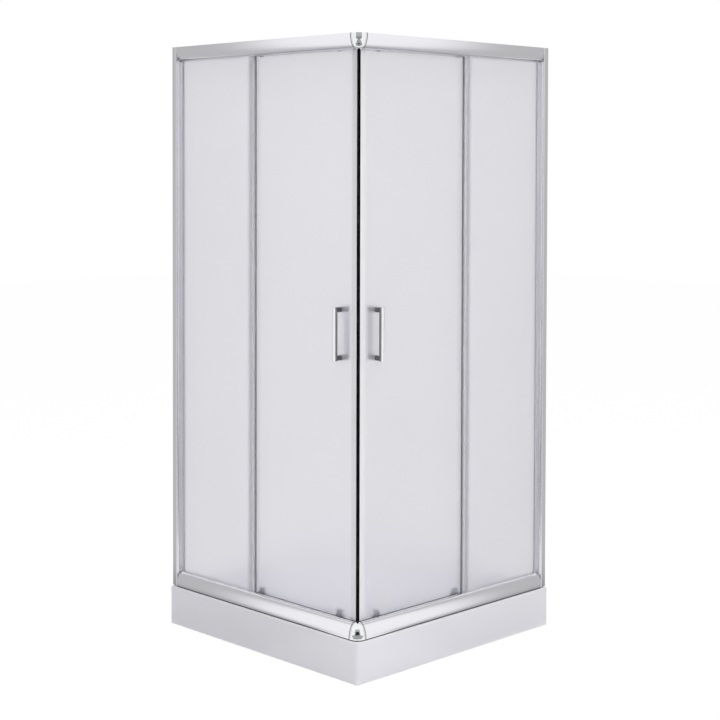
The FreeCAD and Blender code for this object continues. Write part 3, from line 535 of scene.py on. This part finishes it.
def welded(form):
    """Points at one place are joined, and triangles that lose a corner are dropped."""
    points, cells = form
    places, index = np.unique(np.round(points, 7), axis=0, return_inverse=True)
    cells = index.reshape(-1)[cells]
    a, b, c = cells.T
    return places, cells[(a != b) & (b != c) & (c != a)]


def both_sides(forms):
    """Each side with its forms: as given on the left, mirrored on the right."""
    return zip(SIDES, (forms, [other_side(form) for form in forms]))


def new_object(name, form, material):
    """A mesh object in the scene, with one material."""
    points, cells = form
    mesh = bpy.data.meshes.new(name)
    mesh.from_pydata(points.tolist(), [], cells.tolist())
    mesh.materials.append(material)
    item = bpy.data.objects.new(name, mesh)
    bpy.context.scene.collection.objects.link(item)
    return item


def make_piece(name, forms, slot, body, sharp=32.0):
    """Adds one piece that rides a body, smooth but for edges sharper than the given angle."""
    piece = new_object(name, welded(together(forms)), bpy.data.materials[PIECE_FINISH[slot]])
    mesh = piece.data
    mesh.polygons.foreach_set("use_smooth", np.ones(len(mesh.polygons), bool))
    mesh.set_sharp_from_angle(angle=math.radians(sharp))
    mesh.update()
    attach(piece, body)
    return piece


def hexagon(across):
    """Radius towards an angle on a hexagon: half its width / cos(angle from the flat)."""

    def shape(angles, radius):
        from_flat = (angles + math.pi / 6) % (math.pi / 3) - math.pi / 6
        return np.minimum(radius, across / 2 / np.cos(from_flat))

    return shape


def nut_form(across, thickness):
    """A hexagon nut with turned corners: cones cut its corners above and below."""
    corner = across / math.sqrt(3)
    cut = corner - across / 2
    face, bevel = across / 2 - cut * 0.1, cut * 0.7
    profile = [
        (0, 0),
        (face, 0),
        (corner, bevel),
        (corner, thickness - bevel),
        (face, thickness),
        (0, thickness),
    ]
    return turned_form(profile, 48, hexagon(across))


def screw_head_form(radius, rise, recess):
    """A pan head: height rise (1 - (r/R)^3), less a cross whose arms fade out at 0.6 R."""
    rows = np.linspace(0, 1, 22)[:, None]
    angles = around(64)[None, :]
    r = radius * np.sin(rows * math.pi / 2) ** 0.9
    x, y = r * np.cos(angles), r * np.sin(angles)
    arm, reach = 0.16 * radius, 0.62 * radius
    from_arm = np.minimum(np.abs(x), np.abs(y))
    within_arm = np.clip((arm - from_arm) / (0.35 * arm), 0, 1)
    cross = within_arm * np.clip((reach - r) / (0.1 * radius), 0, 1)
    top = rise * (1 - (r / radius) ** 3) + 0.12 * rise - recess * cross
    dome = swept_round(r, top, angles)[::-1]
    wall = swept_round(np.array([[0.0], [radius]]), np.zeros((2, 1)), angles)
    return sheet_form(np.concatenate([wall, dome]), wrap_columns=True)


def dome_form(radius, rise):
    """A dome of height rise (1 - (r/R)^2)^0.55 with a groove, a bell curve about 0.86 R."""
    r = np.linspace(radius, 0, 30)
    groove_radius, groove_width, groove_depth = 0.86 * radius, 1.4 * MM, 0.35 * MM
    groove = groove_depth * np.exp(-(((r - groove_radius) / groove_width) ** 2))
    top = rise * (1 - (r / radius) ** 2) ** 0.55 - groove
    profile = np.concatenate([[(0, 0), (radius, 0)], np.stack([r, top], -1)[1:]])
    return turned_form(profile, 96)


def thread_form(radius, length, pitch, depth):
    """A threaded rod: r(z, a) = R - depth |2 p - 1|, where p is the part of a turn
    z / pitch - a / 2 pi that is left past its last whole turn."""
    z = np.arange(0, length, pitch / 8)[:, None]
    a = around(32)[None, :]
    phase = (z / pitch - a / (2 * math.pi)) % 1
    r = radius - depth * np.abs(2 * phase - 1)
    r = np.concatenate([0 * a, r, 0 * a])
    z = np.concatenate([z[:1], z, z[-1:]])
    return sheet_form(swept_round(r, z, a), wrap_columns=True)


def lip_form(half_thickness, reach, bottom, top):
    """A flat bar with soft edges, of section (t sin(a)^0.4, w cos(a)) with the sine's sign
    kept, closed at both ends."""
    a = around(32)[:, None]
    grow = np.array([[0.0, 1.0, 1.0, 0.0]])
    across = half_thickness * np.sign(np.sin(a)) * np.abs(np.sin(a)) ** 0.4 * grow
    outward = reach * np.cos(a) * grow
    z = np.broadcast_to([[bottom, bottom, top, top]], across.shape)
    return sheet_form(np.stack([across, outward, z], -1), wrap_rows=True)


def coil_form(radius, wire, height, turns, origin):
    """A round wire on a helix: centre (R cos a, R sin a, h a / end), ring square to it."""
    a = np.linspace(0, 2 * math.pi * turns, int(turns * 28))[:, None]
    b = around(10)[None, :]
    rise = (height - 2 * wire) * a / a[-1] + wire
    ring = radius + wire * np.cos(b)
    points = swept_round(ring, rise + wire * np.sin(b), a)
    middle = np.stack([radius * np.cos(a), radius * np.sin(a), rise], -1)
    ends = np.repeat(middle[[0, -1]], b.size, axis=1)
    points = np.concatenate([ends[:1], points, ends[1:]])
    return put(sheet_form(points[:, ::-1], wrap_columns=True), origin)


def frame_bead_form(half, corner, bead):
    """A bead of round section along a square with round corners, in the xy plane."""
    a = around(48)
    quarter = np.floor(a / (math.pi / 2)) * (math.pi / 2) + math.pi / 4
    centre = (half - corner) * math.sqrt(2)
    cx, cy = centre * np.cos(quarter), centre * np.sin(quarter)
    b = around(8)[None, :]
    reach = corner + bead * np.cos(b)
    x = cx[:, None] + reach * np.cos(a)[:, None]
    y = cy[:, None] + reach * np.sin(a)[:, None]
    z = np.broadcast_to(bead * np.sin(b), x.shape)
    points = np.stack([x, y, z], -1)
    return sheet_form(points[:, ::-1], wrap_rows=True, wrap_columns=True)


# ------------------------------------------------------------------ settings
class ShowerLook(bpy.types.PropertyGroup):
    """Colours of the finishes."""

    acrylic_colour: FloatVectorProperty(
        name="Acrylic", description="Colour of the tray", subtype="COLOR",
        default=(0.69, 0.685, 0.725),
    )
    alloy_colour: FloatVectorProperty(
        name="Alloy", description="Colour of rails and uprights", subtype="COLOR",
        default=(0.88, 0.875, 0.915),
    )
    chrome_colour: FloatVectorProperty(
        name="Chrome", description="Colour of plated parts", subtype="COLOR",
        default=(0.88, 0.885, 0.895),
    )
    glass_colour: FloatVectorProperty(
        name="Glass", description="Colour of the etched glass", subtype="COLOR",
        default=(0.85, 0.845, 0.885),
    )
    glass_clearness: FloatProperty(
        name="Glass clearness", description="Share of the light that passes through",
        default=0.8, min=0, max=1, subtype="FACTOR",
    )
    glass_haze: FloatProperty(
        name="Glass haze", description="Roughness of the etched glass",
        default=0.29, min=0, max=1, subtype="FACTOR",
    )
    strip_colour: FloatVectorProperty(
        name="Clear strips", description="Colour of the milky strips on the glass edges",
        subtype="COLOR", default=(0.80, 0.795, 0.82),
    )
    rubber_colour: FloatVectorProperty(
        name="Rubber", description="Colour of the black seals", subtype="COLOR",
        default=(0.0015, 0.0015, 0.0016),
    )
    edge_strip_colour: FloatVectorProperty(
        name="Edge strip", description="Colour of the strip on the fixed glass",
        subtype="COLOR", default=(0.11, 0.11, 0.12),
    )


class ShowerFittings(bpy.types.PropertyGroup):
    """Sizes of the small fittings."""

    dome_rise: FloatProperty(
        name="Cover dome", description="Rise of the waste cover", default=4.5 * MM,
        unit="LENGTH",
    )
    thread_pitch: FloatProperty(
        name="Thread pitch", description="Pitch of the leg threads", default=1.75 * MM,
        unit="LENGTH",
    )
    thread_depth: FloatProperty(
        name="Thread depth", description="Depth of the leg threads", default=0.95 * MM,
        unit="LENGTH",
    )
    leg_nut_across: FloatProperty(
        name="Leg nut", description="Width across the flats of a leg nut",
        default=19 * MM, unit="LENGTH",
    )
    screw_radius: FloatProperty(
        name="Screw head", description="Radius of a screw head", default=4.2 * MM,
        unit="LENGTH",
    )
    profile_screws: IntProperty(
        name="Profile screws", description="Screws down each wall channel", default=3,
    )
    spring_radius: FloatProperty(
        name="Spring radius", description="Radius of a release spring",
        default=2.6 * MM, unit="LENGTH",
    )
    spring_wire: FloatProperty(
        name="Spring wire", description="Radius of the spring's wire",
        default=0.32 * MM, unit="LENGTH",
    )
    lip_thickness: FloatProperty(
        name="Meeting lip", description="Thickness of the lip between the corner magnets",
        default=0.4 * MM, unit="LENGTH",
    )
    post_bead: FloatProperty(
        name="Post washer", description="Radius of the bead round a handle post",
        default=0.6 * MM, unit="LENGTH",
    )


class ShowerStudio(bpy.types.PropertyGroup):
    """Lamps, floor and background."""

    key_power: FloatProperty(
        name="Key lamp", description="Power of the large lamp on the right", default=62.0,
        unit="POWER",
    )
    fill_power: FloatProperty(
        name="Fill lamp", description="Power of the lamp on the left", default=5.0,
        unit="POWER",
    )
    top_power: FloatProperty(
        name="Top lamp", description="Power of the lamp overhead", default=265.0,
        unit="POWER",
    )
    sky_level: FloatProperty(
        name="Sky level", description="Brightness of the surroundings on matt surfaces",
        default=0.57,
    )
    card_grey: FloatProperty(
        name="Card grey", description="Grey of the cards at the wall ends of the rails",
        default=0.53, subtype="FACTOR",
    )
    floor_white: FloatProperty(
        name="Floor white", description="Share of plain white in the floor as it is seen",
        default=0.98, subtype="FACTOR",
    )


# ------------------------------------------------------------------ operators
class DressNodes(bpy.types.Operator):
    """Give every node of the frame its finish"""

    bl_idname = "shower.dress_nodes"
    bl_label = "Finishes"

    def execute(self, context):
        by_slot, by_node = finishes(context.scene.shower_look)
        for name, node in NODES.items():
            slot = node.data.materials[0].name.split(".")[0]
            if name not in by_node and slot not in by_slot:
                raise RuntimeError(f"{name} has no finish for its slot {slot}")
            node.data.materials[0] = by_node.get(name) or by_slot[slot]
        return {"FINISHED"}


class AddWasteDome(bpy.types.Operator):
    """Press the waste cover into a shallow dome with a rolled edge"""

    bl_idname = "shower.waste_dome"
    bl_label = "Waste dome"

    def execute(self, context):
        low, high = node_box("waste_cover")
        centre = (low + high) / 2
        dome = dome_form((high[0] - low[0]) / 2, context.scene.shower_fittings.dome_rise)
        form = put(dome, (centre[0], centre[1], high[2]))
        make_piece("waste_cover_dome", [form], "chrome", "enclosure")
        return {"FINISHED"}


class AddLegThreads(bpy.types.Operator):
    """Cut threads on the levelling legs and lock each with a nut"""

    bl_idname = "shower.leg_threads"
    bl_label = "Leg threads"

    def execute(self, context):
        sizes = context.scene.shower_fittings
        low, high = node_box("tray_leg_studs")
        beam = node_box("tray_frame")[0][2]
        foot = node_box("tray_foot_pads")[1][2]
        radius = 6 * MM
        beam_nut, foot_nut = 7 * MM, 5 * MM
        ends_x, ends_y = (low[0] + radius, high[0] - radius), (low[1] + radius, high[1] - radius)
        spots = [(x, y) for x in ends_x for y in ends_y]
        length = high[2] - low[2]
        stud = thread_form(radius, length, sizes.thread_pitch, sizes.thread_depth)
        studs, nuts = [], []
        across = sizes.leg_nut_across
        for x, y in [*spots, (0, 0)]:
            studs.append(put(stud, (x, y, low[2])))
            nuts.append(put(nut_form(across, beam_nut), (x, y, beam - beam_nut)))
            nuts.append(put(nut_form(across, foot_nut), (x, y, foot)))
        piece = make_piece("leg_threads", studs, "zinc_steel", "enclosure")
        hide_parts("tray_leg_studs")
        make_piece("leg_nuts", nuts, "zinc_steel", "enclosure", sharp=20)
        return {"FINISHED"}


class AddProfileScrews(bpy.types.Operator):
    """Fix each upright in its wall channel with a row of pan-head screws"""

    bl_idname = "shower.profile_screws"
    bl_label = "Profile screws"

    def execute(self, context):
        sizes = context.scene.shower_fittings
        low, high = node_box("left_wall_profile")
        head = screw_head_form(sizes.screw_radius, rise=1.7 * MM, recess=1.1 * MM)
        end_gap = 120 * MM
        heights = np.linspace(low[2] + end_gap, high[2] - end_gap, sizes.profile_screws)
        x = (low[0] + high[0]) / 2
        forms = [put(head, (x, high[1], z), (1, 0, 0), (0, 0, -1)) for z in heights]
        forms += [other_side(form) for form in forms]
        make_piece("profile_screws", forms, "chrome", "enclosure")
        return {"FINISHED"}


class AddRollerFixings(bpy.types.Operator):
    """Put nuts on the top brackets and screw heads on the bottom holders"""

    bl_idname = "shower.roller_fixings"
    bl_label = "Roller fixings"

    def execute(self, context):
        sizes = context.scene.shower_fittings
        top, bottom = node_box("left_door_top_brackets"), node_box("left_door_bottom_holders")
        bolts = node_box("left_door_glass_bolts")
        wheels = [node_box(f"left_bottom_wheel_{end}") for end in ("lead", "trail")]
        plate = 2.5 * MM
        top_inset, bottom_inset = 7 * MM, 10 * MM
        inner = node_box("left_door_glass")[1][1] + plate
        if not top[0][1] <= inner <= top[1][1]:
            raise RuntimeError("the nuts have lost the top brackets")
        nut_height, head_height = bolts[1][2] - top_inset, bolts[0][2] + bottom_inset
        head = screw_head_form(sizes.screw_radius, rise=1.0 * MM, recess=0.6 * MM)
        nut = nut_form(across=9 * MM, thickness=2.6 * MM)
        inwards = {"x_axis": (1, 0, 0), "y_axis": (0, 0, -1)}
        forms = []
        for low, high in wheels:
            x = (low[0] + high[0]) / 2
            forms.append(put(nut, (x, inner, nut_height), **inwards))
            forms.append(put(head, (x, bottom[1][1], head_height), **inwards))
        for side, shown in both_sides(forms):
            make_piece(f"{side}_roller_fixings", shown, "zinc_steel", f"{side}_door")
        return {"FINISHED"}


class AddReleaseSprings(bpy.types.Operator):
    """Wind a pair of springs under the button of each release carrier"""

    bl_idname = "shower.release_springs"
    bl_label = "Release springs"

    def execute(self, context):
        sizes = context.scene.shower_fittings
        _, inner_face, seat = node_box("left_door_bottom_holders")[1]
        radius, wire, turns = sizes.spring_radius, sizes.spring_wire, 3.5
        button_thickness, behind_face, half_gap = 6 * MM, 4 * MM, 4.5 * MM
        for end in ("lead", "trail"):
            low, high = node_box(f"left_release_carrier_{end}")
            reach = high[2] - button_thickness - seat
            x, y = (low[0] + high[0]) / 2, inner_face - behind_face
            forms = [
                coil_form(radius, wire, reach, turns, (spot, y, seat))
                for spot in (x - half_gap, x + half_gap)
            ]
            for side, shown in both_sides(forms):
                name = f"{side}_release_springs_{end}"
                spring = make_piece(name, shown, "zinc_steel", f"{side}_door")
                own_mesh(spring)
        return {"FINISHED"}


class AddPostWashers(bpy.types.Operator):
    """Bed each handle post on the glass with a thin moulded washer"""

    bl_idname = "shower.post_washers"
    bl_label = "Post washers"

    def execute(self, context):
        bead = context.scene.shower_fittings.post_bead
        low, high = node_box("left_door_outer_handle")
        glass_low, glass_high = node_box("left_door_glass")
        x, middle = (low[0] + high[0]) / 2, (low[2] + high[2]) / 2
        ring = frame_bead_form(half=7 * MM, corner=1.2 * MM, bead=bead)
        half_spacing = 73.5 * MM
        forms = [
            put(ring, (x, y, z), (1, 0, 0), (0, 0, 1))
            for y in (glass_low[1] - bead / 2, glass_high[1] + bead / 2)
            for z in (middle - half_spacing, middle + half_spacing)
        ]
        for side, shown in both_sides(forms):
            make_piece(f"{side}_post_washers", shown, "grey_plastic", f"{side}_door")
        return {"FINISHED"}


class AddMeetingLip(bpy.types.Operator):
    """Fill the hairline between the two corner magnets with a soft lip on the left door"""

    bl_idname = "shower.meeting_lip"
    bl_label = "Meeting lip"

    def execute(self, context):
        low, high = node_box("left_door_magnet_strip")
        half = context.scene.shower_fittings.lip_thickness / 2
        middle = (low[0] + high[0]) / 2 + half
        reach, end_gap = 4.6 * MM, 1 * MM
        lip = lip_form(half, reach, low[2] + end_gap, high[2] - end_gap)
        slant = math.sqrt(0.5)
        form = put(lip, (middle, -middle, 0), (slant, slant, 0), (-slant, slant, 0))
        make_piece("left_meeting_lip", [form], "black_rubber", "left_door")
        return {"FINISHED"}


def area_lamp(name, place, target, width, height, power):
    """A rectangular lamp that looks at a target and doesn't show in mirrors."""
    lamp = bpy.data.lights.new(name, "AREA")
    lamp.shape = "RECTANGLE"
    lamp.size, lamp.size_y, lamp.energy = width, height, power
    item = bpy.data.objects.new(name, lamp)
    item.location = place
    item.rotation_euler = (Vector(target) - Vector(place)).to_track_quat("-Z", "Y").to_euler()
    item.visible_glossy = False
    bpy.context.scene.collection.objects.link(item)


def glow_card(name, corner, along, up, colour):
    """A studio card that only mirror-like surfaces see: corner + u along + v up, for u and
    v from 0 to 1. colour(web) gives its glow at each place."""
    u, v = np.meshgrid(np.linspace(0, 1, 3), np.linspace(0, 1, 3))
    points = np.array(corner) + u[..., None] * np.array(along) + v[..., None] * np.array(up)
    material, web = new_finish(name)
    web.surface(
        (0, 0, 0), Roughness=1.0, Specular_IOR_Level=0.0, Emission_Color=colour(web),
        Emission_Strength=1.0,
    )
    card = new_object(name, sheet_form(points), material)
    card.visible_camera = card.visible_diffuse = card.visible_shadow = False
    card.visible_transmission = False


def seen_directly(web):
    """1 for camera, mirror and see-through rays, 0 for the rays that light matt surfaces."""
    rays = web.add("ShaderNodeLightPath").socket.node.outputs
    names = ("Is Camera Ray", "Is Glossy Ray", "Is Transmission Ray")
    camera, glossy, through = (Wire(web, rays[name]) for name in names)
    return (camera + glossy + through).at_most(1.0)


class SetStage(bpy.types.Operator):
    """Lay the floor, hang the lamps, whiten the background and set the camera"""

    bl_idname = "shower.stage"
    bl_label = "Studio"

    def execute(self, context):
        self.floor(context)
        self.background(context)
        self.lamps(context.scene.shower_studio)
        self.cards(context.scene.shower_studio)
        self.camera(context)
        return {"FINISHED"}

    def floor(self, context):
        """A matt floor that shows nearly white and still takes the shadow."""
        reach = 14.0
        across = np.linspace(-reach, reach, 3)
        x, y = np.meshgrid(across, across)
        material, web = new_finish("plain_floor")
        grain = web.noise(30.0, 3.0)
        matt = web.add(
            "ShaderNodeBsdfDiffuse", None,
            {"Color": web.blend(grain, (0.86, 0.86, 0.865), (0.88, 0.88, 0.885))},
        )
        white = web.add("ShaderNodeEmission", None, {"Color": (1, 1, 1, 1), "Strength": 1.0})
        share = seen_directly(web) * context.scene.shower_studio.floor_white
        web.output(web.add("ShaderNodeMixShader", None, {0: share, 1: matt, 2: white}))
        new_object("floor", sheet_form(np.stack([x, y, 0 * x], -1)), material)

    def background(self, context):
        """White to the eye, and a soft grey to the surfaces that it lights."""
        world = bpy.data.worlds.new("studio_white")
        world.use_nodes = True
        context.scene.world = world
        web = Web(world.node_tree)
        level = context.scene.shower_studio.sky_level
        strength = level + seen_directly(web) * (1.0 - level)
        white = web.add(
            "ShaderNodeBackground", None, {"Color": (1, 1, 1, 1), "Strength": strength}
        )
        web.output(white, "ShaderNodeOutputWorld")

    def lamps(self, studio):
        """Each lamp: name, place, width, height and power."""
        middle = (0, 0, 0.9)
        for name, place, width, height, power in (
            ("key_lamp", (4.2, -1.2, 2.6), 2.4, 3.0, studio.key_power),
            ("fill_lamp", (-1.6, -4.4, 2.2), 2.4, 2.6, studio.fill_power),
            ("top_lamp", (0, 0, 5.2), 3.0, 3.0, studio.top_power),
        ):
            area_lamp(name, place, middle, width, height, power)

    def cards(self, studio):
        """Grey towards the walls and white at the corner, for the rails; dark before the
        corner and on the floor close to the tray."""

        def grey(level):
            return (level,) * 3

        def graded(axis, sign, start):
            """Along the axis grey turns white in 450 mm from the start; across it, dark
            turns to that shade from 760 to 900 mm off the middle."""

            def colour(web):
                places = web.axes()
                to_corner = (places[axis] * sign).step(start, start + 0.45)
                shade = web.blend(to_corner, grey(studio.card_grey), grey(1.0))
                return web.blend(abs(places[1 - axis]).step(0.76, 0.9), grey(0.33), shade)

            return colour

        def behind_camera(web):
            return web.blend(web.axes()[2].step(0.6, 1.6), grey(0.22), grey(0.5))

        def behind_floor(web):
            return web.blend(web.noise(1.5), grey(0.34), grey(0.42))

        def low_spot(web):
            return web.blend(web.noise(3.0), grey(0.02), grey(0.03))

        off, length, width, lift = 0.95, 2.6, 0.49, 0.004
        rise, along_left, along_right = (0, 0, length), (length, 0, 0), (0, -length, 0)
        for name, height, start, ups in (
            ("card", 0.0, -0.85, (rise, rise)),
            ("card_low", lift, -0.65, ((0, width, 0), (-width, 0, 0))),
        ):
            left, right = graded(0, 1.0, start), graded(1, -1.0, start)
            glow_card(f"{name}_left", (-length, -off, height), along_left, ups[0], left)
            glow_card(f"{name}_right", (off, length, height), along_right, ups[1], right)
        glow_card("card_camera", (1.8, -7.4, 0.0), (5.6, 5.6, 0), (0, 0, 4.4), behind_camera)
        glow_card("card_low", (0.93, -1.63, 0.12), (0.7, 0.7, 0), (0, 0, 0.5), low_spot)
        glow_card("card_floor", (-0.4, -1.9, 0.02), (2.3, 2.3, 0), (3.9, -3.9, 0), behind_floor)

    def camera(self, context):
        """The camera that was fitted to the photo, with level sides by a shifted lens."""
        place = (3.7438, -3.6962, 1.5562)
        yaw, pitch, roll = (math.radians(angle) for angle in (45.359, 1.864, 0.143))
        camera = bpy.data.cameras.new("camera")
        camera.sensor_width = 36.0
        camera.lens = 78.15
        camera.shift_y = -0.2
        camera.clip_start, camera.clip_end = 0.1, 60.0
        item = bpy.data.objects.new("camera", camera)
        forward = np.array(
            [-math.sin(yaw) * math.cos(pitch), math.cos(yaw) * math.cos(pitch), -math.sin(pitch)]
        )
        right = np.array([math.cos(yaw), math.sin(yaw), 0.0])
        up = np.cross(right, forward)
        tilted = [
            math.cos(roll) * right + math.sin(roll) * up,
            math.cos(roll) * up - math.sin(roll) * right,
            -forward,
        ]
        turn = Matrix(np.array(tilted).T.tolist()).to_4x4()
        item.matrix_world = Matrix.Translation(place) @ turn
        context.scene.collection.objects.link(item)
        context.scene.camera = item
        context.scene.view_settings.view_transform = "Standard"


STEPS = (
    DressNodes,
    AddWasteDome,
    AddLegThreads,
    AddProfileScrews,
    AddRollerFixings,
    AddReleaseSprings,
    AddPostWashers,
    AddMeetingLip,
    SetStage,
)


class ShowerPanel(bpy.types.Panel):
    """The steps of the dressing, in order"""

    bl_idname = "VIEW3D_PT_shower"
    bl_label = "Shower"
    bl_space_type = "VIEW_3D"
    bl_region_type = "UI"
    bl_category = "Shower"

    def draw(self, context):
        for step in STEPS:
            self.layout.operator(step.bl_idname)
        for group in ("shower_look", "shower_fittings", "shower_studio"):
            settings = getattr(context.scene, group)
            box = self.layout.box()
            for name in type(settings).__annotations__:
                box.prop(settings, name)


GROUPS = {
    "shower_look": ShowerLook,
    "shower_fittings": ShowerFittings,
    "shower_studio": ShowerStudio,
}


def register():
    for item in (*GROUPS.values(), *STEPS, ShowerPanel):
        bpy.utils.register_class(item)
    for name, group in GROUPS.items():
        setattr(bpy.types.Scene, name, PointerProperty(type=group))


def unregister():
    for name in GROUPS:
        delattr(bpy.types.Scene, name)
    for item in (ShowerPanel, *reversed(STEPS), *reversed(GROUPS.values())):
        bpy.utils.unregister_class(item)


def main():
    register()
    for step in STEPS:
        group, name = step.bl_idname.split(".")
        getattr(getattr(bpy.ops, group), name)()


if __name__ == "__main__":
    main()
